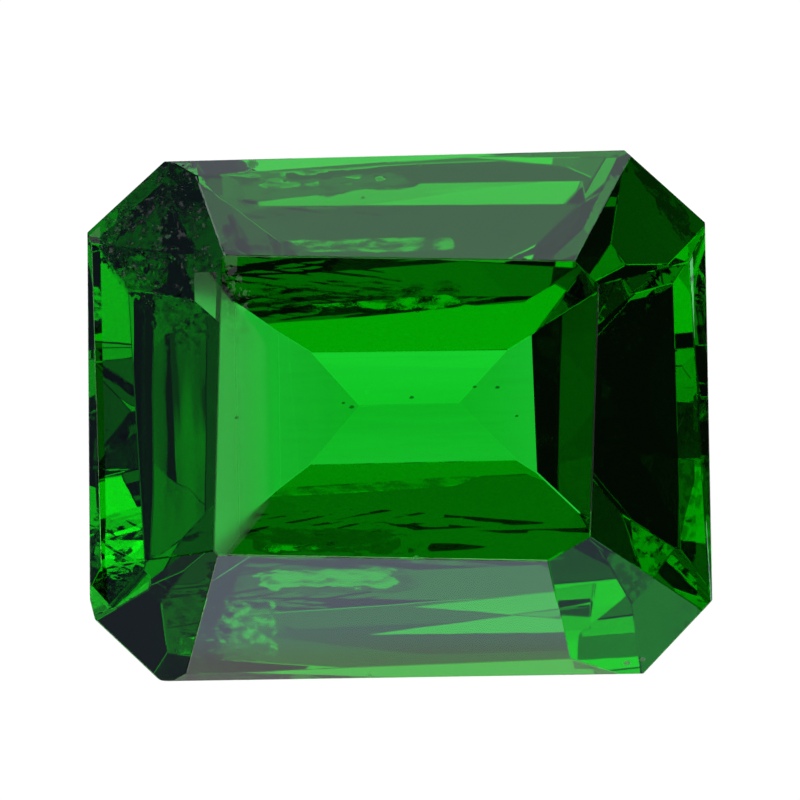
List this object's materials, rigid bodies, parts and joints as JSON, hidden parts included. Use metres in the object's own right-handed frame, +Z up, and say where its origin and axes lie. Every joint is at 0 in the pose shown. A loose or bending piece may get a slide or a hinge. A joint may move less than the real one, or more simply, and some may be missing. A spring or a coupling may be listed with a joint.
{
  "type": "step-cut tsavorite garnet",
  "caption": "Loose green garnet gemstone with an octagonal step cut, lying on a long pavilion facet with its table facing up and forward.",
  "frame": {"origin": "middle of the bounding box's base, on the surface that the stone lies on", "axes": "+Z up, +X to the stone's right along its length, -Y towards the side that the table faces"},
  "size_m": [0.006, 0.004, 0.0035],
  "materials": {
    "garnet": "polished facets, clear green"
  },
  "bodies": {
    "root": {"tsavorite": "garnet"}
  },
  "joints": []
}
